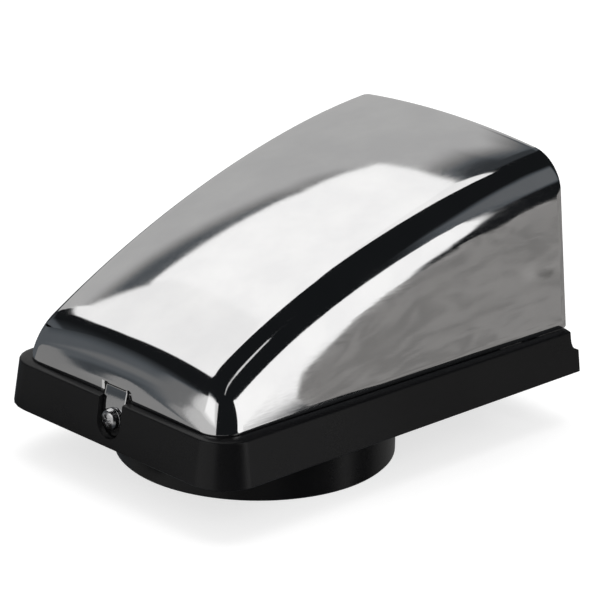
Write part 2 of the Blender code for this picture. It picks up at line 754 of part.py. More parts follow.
def make_screw(steel):
    """Cross-recess pan-head screw, its origin under the head and its axis along the part's X."""
    tip = 0.5 * MM
    profile = [
        (SCREW_RADIUS - tip, -SCREW_LENGTH),
        (SCREW_RADIUS, -SCREW_LENGTH + tip),
        (SCREW_RADIUS, 0.0),
        (HEAD_RADIUS, 0.0),
    ]
    dome = HEAD_HEIGHT - HEAD_SIDE
    for k in range(CORNER_STEPS):
        angle = math.pi / 2 * k / CORNER_STEPS
        profile.append((HEAD_RADIUS * math.cos(angle), HEAD_SIDE + dome * math.sin(angle)))
    mesh_data = bmesh.new()
    add_turned(mesh_data, profile, SMALL_SEGMENTS)
    screw = make_object("hood_screw", mesh_data, math.radians(40))
    screw.data.materials.append(steel)
    screw.location = (TAB_FACE - GAP, 0.0, SCREW_HEIGHT)
    screw.rotation_euler = (0.0, -math.pi / 2, 0.0)
    mesh_data = bmesh.new()
    rings = [
        cross_ring(CROSS_TAPER * CROSS_REACH, CROSS_TAPER * CROSS_BLADE, HEAD_HEIGHT - CROSS_DEPTH),
        cross_ring(CROSS_REACH, CROSS_BLADE, HEAD_HEIGHT + MM / 2),
    ]
    add_loft(mesh_data, rings)
    driver = make_object("cross_recess_cutter", mesh_data)
    driver.location = screw.location
    driver.rotation_euler = screw.rotation_euler
    cut(screw, driver)
    return screw


def make_insert(brass):
    """Knurled insert in the boss, its origin on the screw's axis."""
    mesh_data = bmesh.new()
    count = 2 * KNURL_TEETH
    rings = []
    for z in (0.0, INSERT_LENGTH):
        ring = []
        for k in range(count):
            radius = INSERT_RADIUS - (k % 2) * KNURL_DEPTH
            angle = math.tau * k / count
            ring.append((radius * math.cos(angle), radius * math.sin(angle), z))
        rings.append(ring)
    add_loft(mesh_data, rings)
    insert = make_object("screw_insert", mesh_data)
    insert.data.materials.append(brass)
    insert.location = (RECESS_BACK + GAP, 0.0, SCREW_HEIGHT)
    insert.rotation_euler = (0.0, math.pi / 2, 0.0)
    mesh_data = bmesh.new()
    radius = SCREW_RADIUS + THREAD_CLEARANCE
    add_turned(mesh_data, [(radius, -BEYOND), (radius, INSERT_LENGTH + BEYOND)], SMALL_SEGMENTS)
    thread = make_object("insert_bore_cutter", mesh_data)
    thread.location = insert.location
    thread.rotation_euler = insert.rotation_euler
    cut(insert, thread)
    return insert


def main():
    clear_scene()
    plastic = make_material("black_moulding", (0.012, 0.012, 0.014), 0.32, 0.0)
    polished = make_material("polished_stainless", (0.78, 0.78, 0.80), 0.06, 1.0)
    plain_steel = make_material("plain_stainless", (0.62, 0.62, 0.63), 0.28, 1.0)
    screw_steel = make_material("screw_stainless", (0.68, 0.68, 0.69), 0.2, 1.0)
    brass = make_material("brass", (0.78, 0.57, 0.25), 0.30, 1.0)
    make_base(plastic)
    make_insert(brass)
    make_hood(polished)
    make_hook("rear_hook_left", 1, plain_steel)
    make_hook("rear_hook_right", -1, plain_steel)
    make_screw(screw_steel)


main()
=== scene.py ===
"""Looks of a low cowl vent: mirror-polished stainless hood on a black moulded base.

Everything is in metres in the part's frame: the origin is on the duct's axis in the deck's plane,
+X points to the mouth and +Z up.
"""

import math

import bmesh
import bpy
import numpy as np
from mathutils import Matrix, Vector


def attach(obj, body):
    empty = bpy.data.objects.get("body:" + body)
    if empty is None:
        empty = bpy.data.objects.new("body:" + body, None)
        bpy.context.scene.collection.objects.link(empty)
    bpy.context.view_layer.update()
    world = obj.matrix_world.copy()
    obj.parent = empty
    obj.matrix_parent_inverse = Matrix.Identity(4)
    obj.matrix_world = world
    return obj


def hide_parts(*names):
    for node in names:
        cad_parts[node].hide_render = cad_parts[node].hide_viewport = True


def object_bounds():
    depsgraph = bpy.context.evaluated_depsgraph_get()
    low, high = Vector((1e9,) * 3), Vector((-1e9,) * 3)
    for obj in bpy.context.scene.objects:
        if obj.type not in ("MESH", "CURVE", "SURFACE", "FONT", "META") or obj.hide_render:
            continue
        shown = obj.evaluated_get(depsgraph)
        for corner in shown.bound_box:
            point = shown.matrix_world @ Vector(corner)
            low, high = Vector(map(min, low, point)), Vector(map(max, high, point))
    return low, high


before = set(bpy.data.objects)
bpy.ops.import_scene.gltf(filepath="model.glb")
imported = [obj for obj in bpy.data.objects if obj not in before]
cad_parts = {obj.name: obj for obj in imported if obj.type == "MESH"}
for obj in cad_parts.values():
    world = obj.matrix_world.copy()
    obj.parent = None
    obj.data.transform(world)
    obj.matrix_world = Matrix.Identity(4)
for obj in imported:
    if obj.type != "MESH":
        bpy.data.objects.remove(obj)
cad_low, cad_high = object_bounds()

MM = 0.001

# The hood's pressing, the same sizes as in the part
BASE_NOSE = -71.2 * MM
BASE_LENGTH = 179.4 * MM
HOOD_FOOT = 17.9 * MM
FOOT_FALL = 1.0 * MM  # over the base's length
HOOD_HALF = 54.8 * MM
SIDE_FLARE = 1.5 * MM
HOOD_NOSE = -66.14 * MM
HOOD_MOUTH = 105.0 * MM
SHEET = 1.0 * MM
HOOD_CORNER = 10.2 * MM
NOSE_ROOF = 34.4 * MM
MOUTH_ROOF = 88.1 * MM
NOSE_SLOPE = 0.668
MOUTH_SLOPE = 0.027
ROOF_FLATNESS = 1.72 * MM
NOSE_CROWN = 7.4 * MM
MOUTH_CROWN = 3.9 * MM
NOSE_SHOULDER = 11.5 * MM
MOUTH_SHOULDER = 11.9 * MM
SIDE_LEAN = 0.15
MOUTH_LEAN = 0.111
MOUTH_CORNER = 1.2 * MM
HOOD_LENGTH = HOOD_MOUTH - HOOD_NOSE

# Tab and screw at the nose
SCREW_HEIGHT = 10.2 * MM
TAB_WIDTH = 11.2 * MM
NOTCH_WIDTH = 0.9 * MM
NOTCH_RISE = 3.3 * MM
NOTCH_END_RADIUS = 0.7 * MM
WINDOW_ROUNDING = 1.5 * MM
WINDOW_DEPTH = 6 * MM
RECESS_CENTRE = 9.3 * MM
TAB_SLOPE = 9.0 * MM  # height over which the tab's face slopes outwards
BACK_SLOPE = NOTCH_RISE - 0.3 * MM  # and over which its back does
TAB_FACE = HOOD_NOSE - 1.6 * MM
TAB_ROOT = 1.5 * MM  # how far the tab reaches up into the hood's sheet
TAB_SINK = 0.1  # how deep it lies under the sheet's faces there, as a share of the sheet
BEND_START = 1.4  # how fast the face bends out at first, against an even slope
HOLE_RADIUS = 2.3 * MM
HOLE_LENGTH = 8 * MM  # of the hole's and the notch ends' cutters
EDGE_ROUND = 0.22 * MM
HEAD_RADIUS = 4.0 * MM
HEAD_HEIGHT = 3.1 * MM
HEAD_GAP = 0.3 * MM
HEAD_TURN = 20.0  # of the cross, in degrees
SHANK_RADIUS = 2.0 * MM
SHANK_LENGTH = 10.0 * MM
THREAD_PITCH = 0.7 * MM
THREAD_DEPTH = 0.38 * MM
TIP_TAPER = 0.5 * MM
TIP_SLOPE = 0.8
NECK_LENGTH = 0.5 * MM  # the plain part under the head
SCREW_EDGE_ROUND = 0.05 * MM

# Steps of the fine meshes
SIDE_STEPS = 80
CORNER_STEPS = 9
NOSE_STEPS = 64
WALL_STEPS = 24
SIDE_CROWDING = 1.2  # above 1, the steps lie closer together towards the nose
WALL_CROWDING = 1.6  # and towards the shoulder
ROUND_STEPS = 13
BEND_STEPS = 28
TAB_END_STEPS = 33
HOLE_SEGMENTS = 48
SCREW_SEGMENTS = 64
THREAD_STEPS = 10  # for each turn
SEARCH_STEPS = 40  # halvings when a ray meets the skin
LEAN_STEPS = 10

# How far the cutters reach past what they cut
CUTTER_REACH = 5 * MM

# Angles in degrees: sharper edges are rounded, and flatter ones are shaded smooth
BEVEL_ANGLE = 50
HOOD_SHADE_ANGLE = 42
SCREW_SHADE_ANGLE = 40
COPY_ANGLE = 32

# The copies of the CAD meshes: facets flatter than this are joined, and points nearer than this
COPY_FLAT_ANGLE = 0.6
COPY_WELD = 0.002 * MM

# The photograph's view
VIEW_AZIMUTH = -43.8
VIEW_ELEVATION = 20.4
VIEW_ROLL = 1.05
VIEW_DISTANCE = 1.3
VIEW_OFFSET = (16.1 * MM, 35.35 * MM)  # sideways and up in the picture
FOCAL_PIXELS = 3589.4
IMAGE_PIXELS = 600
SENSOR = 36.0


def mix(start, end, share):
    return start + (end - start) * share


def share_along(x):
    return np.clip((x - HOOD_NOSE) / HOOD_LENGTH, 0.0, 1.0)


def roof_height(x, y):
    """The roof's height before its edges are rounded and its mouth leans."""
    u = (x - HOOD_NOSE) / HOOD_LENGTH
    start = 2 * u**3 - 3 * u**2 + 1
    middle = NOSE_ROOF * start + MOUTH_ROOF * (1 - start)
    middle = middle + NOSE_SLOPE * (u**3 - 2 * u**2 + u) * HOOD_LENGTH
    middle = middle + MOUTH_SLOPE * (u**3 - u**2) * HOOD_LENGTH
    middle = middle - ROOF_FLATNESS * 16 * (u * (1 - u)) ** 2
    return middle - mix(NOSE_CROWN, MOUTH_CROWN, u) * (y / HOOD_HALF) ** 2


def roof_steepness(x, y):
    """How much longer a height above the roof is than the distance square to it."""
    step = 0.5 * MM
    along = (roof_height(x + step, y) - roof_height(x - step, y)) / (2 * step)
    across = (roof_height(x, y + step) - roof_height(x, y - step)) / (2 * step)
    return np.sqrt(1 + along**2 + across**2)


def side_lean(x):
    return SIDE_LEAN * (1 - share_along(x)) ** 2


def half_width(x):
    """Half the hood's width at its foot."""
    return HOOD_HALF - SIDE_FLARE * (1 - share_along(x))


def foot_height(x):
    return HOOD_FOOT - FOOT_FALL * (x - BASE_NOSE) / BASE_LENGTH


def shoulder_radius(x):
    return mix(NOSE_SHOULDER, MOUTH_SHOULDER, share_along(x))


def skin_distance(points):
    """Distance of each point outside the hood's outer skin."""
    x, y, z = points.T
    height = z - HOOD_FOOT
    past_nose = HOOD_NOSE + HOOD_CORNER - x
    past_side = np.abs(y) - (half_width(x) - side_lean(x) * height - HOOD_CORNER)
    outside = np.hypot(np.maximum(past_nose, 0), np.maximum(past_side, 0))
    wall = outside + np.minimum(np.maximum(past_nose, past_side), 0) - HOOD_CORNER
    roof = (z - roof_height(x, y)) / roof_steepness(x, y)
    radius = shoulder_radius(x)
    rounded = np.hypot(wall + radius, roof + radius) - radius
    return np.where((wall > -radius) & (roof > -radius), rounded, np.maximum(wall, roof))


def leaned(points):
    """The points with the mouth's lean put in: further towards the nose the higher they are."""
    moved = points.copy()
    moved[:, 0] -= MOUTH_LEAN * share_along(points[:, 0]) * (points[:, 2] - HOOD_FOOT)
    return moved


def upright(points):
    """The points with the mouth's lean taken out again."""
    x = points[:, 0]
    for _ in range(LEAN_STEPS):
        x = points[:, 0] + MOUTH_LEAN * share_along(x) * (points[:, 2] - HOOD_FOOT)
    return np.column_stack([x, points[:, 1:]])


def reach_skin(starts, directions, inset):
    """Where rays from inside meet the skin, or a surface inset inside it."""
    near = np.zeros(len(starts))
    far = np.full(len(starts), HOOD_LENGTH)
    for _ in range(SEARCH_STEPS):
        middle = (near + far) / 2
        out = skin_distance(leaned(starts + directions * middle[:, None])) > -inset
        far = np.where(out, middle, far)
        near = np.where(out, near, middle)
    return leaned(starts + directions * near[:, None])


def hood_plan():
    """Points of the hood's plan and their outward directions: near side, nose and far side."""
    shares = 1 - (1 - np.arange(SIDE_STEPS) / SIDE_STEPS) ** SIDE_CROWDING
    side_x = HOOD_MOUTH - (HOOD_LENGTH - HOOD_CORNER) * shares
    side = np.column_stack([side_x, -half_width(side_x)])
    side_out = np.tile([0.0, -1.0], (SIDE_STEPS, 1))
    angles = math.pi / 4 * np.arange(2 * CORNER_STEPS) / CORNER_STEPS
    corner_out = np.column_stack([-np.sin(angles), -np.cos(angles)])
    straight = half_width(HOOD_NOSE + HOOD_CORNER) - HOOD_CORNER
    centre = np.array([HOOD_NOSE + HOOD_CORNER, -straight])
    near = np.vstack([side, centre + corner_out * HOOD_CORNER])
    near_out = np.vstack([side_out, corner_out])
    across = -straight * np.cos(math.pi * np.arange(NOSE_STEPS + 1) / NOSE_STEPS)
    nose = np.column_stack([np.full(NOSE_STEPS + 1, HOOD_NOSE), across])
    nose_out = np.tile([-1.0, 0.0], (NOSE_STEPS + 1, 1))
    flip = np.array([1.0, -1.0])
    plan = np.vstack([near, nose, near[::-1] * flip])
    out = np.vstack([near_out, nose_out, near_out[::-1] * flip])
    return plan, np.column_stack([out, np.zeros(len(out))])


def skin_rows(inset):
    """The wall's rows from foot to shoulder."""
    plan, out = hood_plan()
    radius = shoulder_radius(plan[:, 0])
    core = plan - out[:, :2] * radius[:, None]
    core_z = roof_height(*core.T) - radius * roof_steepness(*core.T)
    core_z = np.maximum(core_z, HOOD_FOOT)
    core[:, 1] -= out[:, 1] * side_lean(plan[:, 0]) * (core_z - HOOD_FOOT)
    core = np.column_stack([core, core_z])
    up_and_out = (out + np.array([0.0, 0.0, 1.0])) / math.sqrt(2)
    tops = reach_skin(core, up_and_out, inset)
    rows = []
    for step in range(WALL_STEPS):
        share = 1 - (1 - step / WALL_STEPS) ** WALL_CROWDING
        starts = core.copy()
        starts[:, 2] = mix(foot_height(tops[:, 0]), tops[:, 2], share)
        rows.append(reach_skin(starts, out, inset))
    rows.append(tops)
    return rows


def roof_rows(tops, inset):
    """Rows of roof points inside the shoulder line, from the mouth to the nose."""
    side = SIDE_STEPS + CORNER_STEPS
    border = upright(tops)
    near = border[: side + 1]
    nose = border[side : side + NOSE_STEPS + 1]
    far = border[: -side - 2 : -1]
    over = ((nose[:, 1] - nose[0, 1]) / (nose[-1, 1] - nose[0, 1]))[:, None]
    chord = nose[0] + (nose[-1] - nose[0]) * over
    rows = []
    for i in range(side):
        along = (near[0, 0] - near[i, 0]) / (near[0, 0] - near[side, 0])
        starts = near[i] + (far[i] - near[i]) * over + (nose - chord) * along
        starts[:, 2] = HOOD_FOOT
        rise = np.tile([0.0, 0.0, 1.0], (len(starts), 1))
        row = reach_skin(starts, rise, inset)
        row[0], row[-1] = tops[i], tops[len(tops) - 1 - i]
        rows.append(row)
    return rows


def add_skin(mesh_data, inset):
    """One skin of the hood. It gives back its vertices along the foot and round the mouth."""
    rows = skin_rows(inset)
    wall = [[mesh_data.verts.new(point) for point in row] for row in rows]
    top = wall[-1]
    side = SIDE_STEPS + CORNER_STEPS
    roof = []
    for i, row in enumerate(roof_rows(rows[-1], inset)):
        inner = [mesh_data.verts.new(point) for point in row[1:-1]]
        roof.append([top[i], *inner, top[-1 - i]])
    roof.append(top[side : len(top) - side])
    for patch in (wall, roof):
        for lower, upper in zip(patch, patch[1:]):
            for k in range(len(lower) - 1):
                mesh_data.faces.new((lower[k], lower[k + 1], upper[k + 1], upper[k]))
    arch = [row[0] for row in wall] + roof[0][1:-1] + [row[-1] for row in reversed(wall)]
    return wall[0], arch


def new_object(name, mesh_data):
    bmesh.ops.recalc_face_normals(mesh_data, faces=mesh_data.faces)
    mesh = bpy.data.meshes.new(name)
    mesh_data.to_mesh(mesh)
    mesh_data.free()
    thing = bpy.data.objects.new(name, mesh)
    bpy.context.scene.collection.objects.link(thing)
    return thing


def add_loft(mesh_data, rings):
    """A closed solid through rings of equal point counts, with flat ends."""
    rows = [[mesh_data.verts.new(point) for point in ring] for ring in rings]
    for lower, upper in zip(rows, rows[1:]):
        for k in range(len(lower)):
            after = (k + 1) % len(lower)
            mesh_data.faces.new((lower[k], lower[after], upper[after], upper[k]))
    mesh_data.faces.new(rows[0])
    mesh_data.faces.new(rows[-1])


def apply_boolean(target, helper, operation):
    """Applies a Boolean and removes its helper."""
    modifier = target.modifiers.new(helper.name, "BOOLEAN")
    modifier.operation = operation
    modifier.solver = "EXACT"
    modifier.object = helper
    apply_modifiers(target)
    bpy.data.objects.remove(helper, do_unlink=True)


def apply_modifiers(thing):
    graph = bpy.context.evaluated_depsgraph_get()
    mesh = bpy.data.meshes.new_from_object(thing.evaluated_get(graph))
    thing.modifiers.clear()
    thing.data = mesh


def nose_skin_x(z, inset):
    start = np.array([[HOOD_NOSE + NOSE_SHOULDER, 0.0, z]])
    return reach_skin(start, np.array([[-1.0, 0.0, 0.0]]), inset)[0, 0]


def make_window():
    """The cutter for the tab's window, whose lower corners are rounded off."""
    half = TAB_WIDTH / 2 + NOTCH_WIDTH
    outline = [(half + WINDOW_ROUNDING, HOOD_FOOT - CUTTER_REACH)]
    for angle in np.linspace(0, math.pi / 2, ROUND_STEPS):
        y = half + WINDOW_ROUNDING * (1 - math.sin(angle))
        outline.append((y, HOOD_FOOT + WINDOW_ROUNDING * (1 - math.cos(angle))))
    outline.append((half, HOOD_FOOT + NOTCH_RISE))
    outline += [(-y, z) for y, z in reversed(outline)]
    mesh_data = bmesh.new()
    ends = (HOOD_NOSE - CUTTER_REACH, HOOD_NOSE + WINDOW_DEPTH)
    add_loft(mesh_data, [[(x, y, z) for y, z in outline] for x in ends])
    return new_object("tab_window", mesh_data)


def make_mouth_corners():
    """The cutter that rounds the lower corners of the hood's sides at the mouth."""
    foot = foot_height(HOOD_MOUTH)
    mouth = HOOD_MOUTH + MOUTH_LEAN * (HOOD_FOOT - foot)
    below, beyond = foot - CUTTER_REACH, mouth + CUTTER_REACH
    profile = [(mouth - MOUTH_CORNER, below), (beyond, below), (beyond, foot + MOUTH_CORNER)]
    for angle in np.linspace(0, math.pi / 2, ROUND_STEPS):
        along, down = MOUTH_CORNER * math.cos(angle), MOUTH_CORNER * math.sin(angle)
        profile.append((mouth - MOUTH_CORNER + along, foot + MOUTH_CORNER - down))
    mesh_data = bmesh.new()
    reach = HOOD_HALF + CUTTER_REACH
    add_loft(mesh_data, [[(x, y, z) for x, z in profile] for y in (-reach, reach)])
    return new_object("mouth_corner_cutter", mesh_data)


def make_tab_holes():
    """Cutters along X for the screw's hole and for the round ends of the notches."""
    notch = (TAB_WIDTH + NOTCH_WIDTH) / 2
    places = [(HOLE_RADIUS, 0.0, SCREW_HEIGHT)]
    places += [(NOTCH_END_RADIUS, side * notch, HOOD_FOOT + NOTCH_RISE) for side in (-1, 1)]
    mesh_data = bmesh.new()
    for radius, y, z in places:
        turn = Matrix.Translation((TAB_FACE, y, z)) @ Matrix.Rotation(math.pi / 2, 4, "Y")
        bmesh.ops.create_cone(
            mesh_data,
            cap_ends=True,
            segments=HOLE_SEGMENTS,
            radius1=radius,
            radius2=radius,
            depth=HOLE_LENGTH,
            matrix=turn,
        )
    return new_object("tab_holes", mesh_data)


def make_tab():
    """The strip between the notches, bent out and running down behind the screw's head.

    A half-round end is cut on it last.
    """
    window_top = HOOD_FOOT + NOTCH_RISE
    margin = TAB_SINK * SHEET
    outside, inside = [], []
    for z in np.linspace(window_top + TAB_ROOT, window_top - TAB_SLOPE, BEND_STEPS):
        top_z = max(z, HOOD_FOOT)
        bend = np.clip((window_top - z) / TAB_SLOPE, 0.0, 1.0)
        bend = bend * (BEND_START - (BEND_START - 1) * bend * bend)
        back_bend = np.clip((window_top - z) / BACK_SLOPE, 0.0, 1.0)
        outside.append((mix(nose_skin_x(top_z, margin), TAB_FACE, bend), z))
        inside.append((mix(nose_skin_x(top_z, SHEET - margin), TAB_FACE + SHEET, back_bend), z))
    end = RECESS_CENTRE - TAB_WIDTH / 2
    profile = outside + [(TAB_FACE, end), (TAB_FACE + SHEET, end)] + inside[::-1]
    mesh_data = bmesh.new()
    half = TAB_WIDTH / 2
    flat = half - 3 * EDGE_ROUND
    add_loft(mesh_data, [[(x, y, z) for x, z in profile] for y in (-half, -flat, flat, half)])
    tab = new_object("tab", mesh_data)
    top = 3 * SCREW_HEIGHT
    rings = []
    for x in (TAB_FACE - 2 * CUTTER_REACH, TAB_FACE + 2 * CUTTER_REACH):
        ring = [(x, half, top)]
        for angle in np.linspace(0, math.pi, TAB_END_STEPS):
            ring.append((x, half * math.cos(angle), RECESS_CENTRE - half * math.sin(angle)))
        ring.append((x, -half, top))
        rings.append(ring)
    mesh_data = bmesh.new()
    add_loft(mesh_data, rings)
    apply_boolean(tab, new_object("tab_outline", mesh_data), "INTERSECT")
    return tab


def round_edges(thing, width, angle):
    bevel = thing.modifiers.new("edges", "BEVEL")
    bevel.width = width
    bevel.segments = 2
    bevel.limit_method = "ANGLE"
    bevel.angle_limit = math.radians(angle)
    bevel.harden_normals = False


def shade(thing, angle):
    thing.data.shade_smooth()
    thing.data.set_sharp_from_angle(angle=math.radians(angle))


def make_hood(steel):
    mesh_data = bmesh.new()
    outer_foot, outer_arch = add_skin(mesh_data, 0.0)
    inner_foot, inner_arch = add_skin(mesh_data, SHEET)
    for outer, inner in ((outer_foot, inner_foot), (outer_arch, inner_arch)):
        for k in range(len(outer) - 1):
            mesh_data.faces.new((outer[k], outer[k + 1], inner[k + 1], inner[k]))
    hood = new_object("polished_hood", mesh_data)
    apply_boolean(hood, make_window(), "DIFFERENCE")
    apply_boolean(hood, make_mouth_corners(), "DIFFERENCE")
    apply_boolean(hood, make_tab(), "UNION")
    apply_boolean(hood, make_tab_holes(), "DIFFERENCE")
    round_edges(hood, EDGE_ROUND, BEVEL_ANGLE)
    apply_modifiers(hood)
    shade(hood, HOOD_SHADE_ANGLE)
    hood.data.materials.clear()
    hood.data.materials.append(steel)
    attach(hood, "hood")
    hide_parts("hood")


def dressed_copy(node, name, body, material, bevel):
    """Makes a copy of a CAD node with its edges rounded and its faces shaded smooth."""
    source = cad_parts[node]
    mesh_data = bmesh.new()
    mesh_data.from_mesh(source.data)
    mesh_data.transform(source.matrix_world)
    bmesh.ops.remove_doubles(mesh_data, verts=mesh_data.verts, dist=COPY_WELD)
    bmesh.ops.dissolve_limit(
        mesh_data,
        angle_limit=math.radians(COPY_FLAT_ANGLE),
        verts=mesh_data.verts,
        edges=mesh_data.edges,
    )
    thing = new_object(name, mesh_data)
    if bevel:
        round_edges(thing, bevel, COPY_ANGLE)
        apply_modifiers(thing)
    shade(thing, COPY_ANGLE)
    weights = thing.modifiers.new("weights", "WEIGHTED_NORMAL")
    weights.keep_sharp = True
    apply_modifiers(thing)
    thing.data.materials.clear()
    thing.data.materials.append(material)
    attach(thing, body)
    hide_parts(node)


class Nodes:
    """Short calls for building a material's node tree."""

    def __init__(self, tree):
        self.tree = tree

    def add(self, kind, links=(), **values):
        """A node with its properties or input values set, and its inputs linked."""
        node = self.tree.nodes.new(kind)
        for name, value in values.items():
            setattr(node, name, value)
        for name, source in dict(links).items():
            if isinstance(source, bpy.types.NodeSocket):
                self.tree.links.new(source, node.inputs[name])
            else:
                node.inputs[name].default_value = source
        return node

    def maths(self, operation, *values):
        links = dict(enumerate(values))
        return self.add("ShaderNodeMath", links, operation=operation).outputs[0]

    def ramp(self, value, low, high, start=0.0, end=1.0, smooth=False):
        """A value that runs from start to end as the input runs from low to high."""
        links = {"Value": value, "From Min": low, "From Max": high, "To Min": start, "To Max": end}
        kind = "SMOOTHSTEP" if smooth else "LINEAR"
        node = self.add("ShaderNodeMapRange", links, interpolation_type=kind)
        return node.outputs["Result"]

    def noise(self, vector, scale=1.0, detail=2.0, roughness=0.5, distortion=0.0):
        links = {
            "Vector": vector,
            "Scale": scale,
            "Detail": detail,
            "Roughness": roughness,
            "Distortion": distortion,
        }
        return self.add("ShaderNodeTexNoise", links).outputs["Fac"]

    def stretch(self, vector, scale):
        links = {"Vector": vector, "Scale": scale}
        return self.add("ShaderNodeMapping", links).outputs["Vector"]

    def axis(self, vector, name):
        """One of a vector's X, Y and Z."""
        return self.add("ShaderNodeSeparateXYZ", {"Vector": vector}).outputs[name]

    def bump(self, height, distance, normal=None):
        links = {"Height": height, "Distance": distance, "Strength": 1.0}
        if normal is not None:
            links["Normal"] = normal
        return self.add("ShaderNodeBump", links).outputs["Normal"]


def new_material(name):
    """A material with its nodes, its Principled shader and its object coordinates."""
    material = bpy.data.materials.new(name)
    material.use_nodes = True
    nodes = Nodes(material.node_tree)
    shader = material.node_tree.nodes["Principled BSDF"]
    place = nodes.add("ShaderNodeTexCoord").outputs["Object"]
    return material, nodes, shader, place


def new_light_material(name):
    """A material with an emptied node tree, for the studio's pieces."""
    material = bpy.data.materials.new(name)
    material.use_nodes = True
    material.node_tree.nodes.clear()
    return material, Nodes(material.node_tree)


def finish_tree(nodes, kind, surface):
    output = nodes.add(kind)
    nodes.tree.links.new(surface, output.inputs["Surface"])


def two_colours(nodes, value, dark, light, start=0.0, end=1.0):
    """A colour that runs from dark to light as the value runs from start to end."""
    ramp = nodes.add("ShaderNodeValToRGB", {"Fac": value})
    for element, colour, position in zip(ramp.color_ramp.elements, (dark, light), (start, end)):
        element.position = position
        element.color = (*colour, 1.0)
    return ramp.outputs["Color"]


def link(nodes, shader, colour, roughness, normal):
    for name, source in (("Base Color", colour), ("Roughness", roughness), ("Normal", normal)):
        nodes.tree.links.new(source, shader.inputs[name])


def polished_steel():
    """Mirror-polished sheet: shallow ripples towards the mouth, and faint polishing lines."""
    material, nodes, shader, place = new_material("polished_stainless")
    shader.inputs["Metallic"].default_value = 1.0
    cloudy = nodes.noise(place, 55.0, detail=3.0)
    dark, light = (0.80, 0.80, 0.81), (0.86, 0.86, 0.865)
    colour = two_colours(nodes, cloudy, dark, light, start=0.35, end=0.7)
    grain = nodes.noise(nodes.stretch(place, (220.0, 1800.0, 1800.0)))
    rough = nodes.ramp(nodes.maths("ADD", cloudy, grain), 0.7, 1.3, start=0.035, end=0.085)
    stretched = nodes.stretch(place, (34.0, 20.0, 50.0))
    ripple = nodes.noise(stretched, detail=1.0, roughness=0.4, distortion=0.6)
    to_mouth = nodes.ramp(nodes.axis(place, "X"), -45 * MM, 80 * MM, smooth=True)
    ripple = nodes.maths("MULTIPLY", ripple, to_mouth)
    wavy = nodes.bump(ripple, 0.2 * MM)
    fine = nodes.bump(grain, 0.002 * MM, wavy)
    link(nodes, shader, colour, rough, fine)
    return material


def mill_steel(name, low, high):
    """Plain steel with drawn lines, its roughness between low and high."""
    material, nodes, shader, place = new_material(name)
    shader.inputs["Metallic"].default_value = 1.0
    lines = nodes.noise(nodes.stretch(place, (300.0, 5000.0, 5000.0)), detail=3.0)
    patches = nodes.noise(place, 400.0)
    colour = two_colours(nodes, patches, (0.52, 0.52, 0.53), (0.72, 0.72, 0.73))
    rough = nodes.ramp(lines, 0.3, 0.7, start=low, end=high)
    link(nodes, shader, colour, rough, nodes.bump(lines, 0.01 * MM))
    return material


def brass_metal():
    material, nodes, shader, place = new_material("brass")
    shader.inputs["Metallic"].default_value = 1.0
    patches = nodes.noise(place, 700.0, detail=3.0)
    colour = two_colours(nodes, patches, (0.50, 0.33, 0.12), (0.84, 0.62, 0.28))
    rough = nodes.ramp(patches, 0.3, 0.7, start=0.22, end=0.4)
    link(nodes, shader, colour, rough, nodes.bump(patches, 0.015 * MM))
    return material


def black_plastic():
    """Satin black moulding with a very fine texture and slight flow marks."""
    material, nodes, shader, place = new_material("black_moulding")
    clouds = nodes.noise(place, 38.0, detail=4.0)
    colour = two_colours(nodes, clouds, (0.0042, 0.0042, 0.0048), (0.0072, 0.0072, 0.0079))
    texture = nodes.noise(place, 2600.0)
    rough = nodes.ramp(nodes.maths("ADD", clouds, texture), 0.7, 1.3, start=0.27, end=0.38)
    flow = nodes.bump(clouds, 0.06 * MM)
    shader.inputs["Specular IOR Level"].default_value = 0.27
    link(nodes, shader, colour, rough, nodes.bump(texture, 0.006 * MM, flow))
    return material


def screw_profile():
    """The head's outline from its underside to its top, as (radius, height)."""
    points = [(0.93, 0.0), (0.975, 0.02), (1.0, 0.08), (1.0, 0.26), (0.985, 0.42), (0.94, 0.58)]
    points += [(0.86, 0.73), (0.74, 0.85), (0.58, 0.93), (0.38, 0.98), (0.16, 1.0)]
    return [(radius * HEAD_RADIUS, height * HEAD_HEIGHT) for radius, height in points]


def thread_rings():
    """The threaded shank as rings whose radius follows the helix, from its tip to the head."""
    count = int(SHANK_LENGTH / THREAD_PITCH * THREAD_STEPS)
    rings = []
    for i in range(count + 1):
        z = -SHANK_LENGTH + SHANK_LENGTH * i / count
        ring = []
        for k in range(SCREW_SEGMENTS):
            turn = k / SCREW_SEGMENTS
            phase = (z / THREAD_PITCH - turn) % 1.0
            depth = THREAD_DEPTH * abs(2 * phase - 1)
            tip = max(0.0, TIP_TAPER - (z + SHANK_LENGTH))
            radius = SHANK_RADIUS - depth - tip * TIP_SLOPE
            if z > -NECK_LENGTH:
                radius = SHANK_RADIUS - THREAD_DEPTH
            angle = math.tau * turn
            ring.append((radius * math.cos(angle), radius * math.sin(angle), z))
        rings.append(ring)
    return rings


def cross_ring(arm, half_blade, z):
    b = half_blade
    corners = [(arm, -b), (arm, b), (b, b), (b, arm), (-b, arm), (-b, b)]
    corners += [(-arm, b), (-arm, -b), (-b, -b), (-b, -arm), (b, -arm), (b, -b)]
    return [(x, y, z) for x, y in corners]


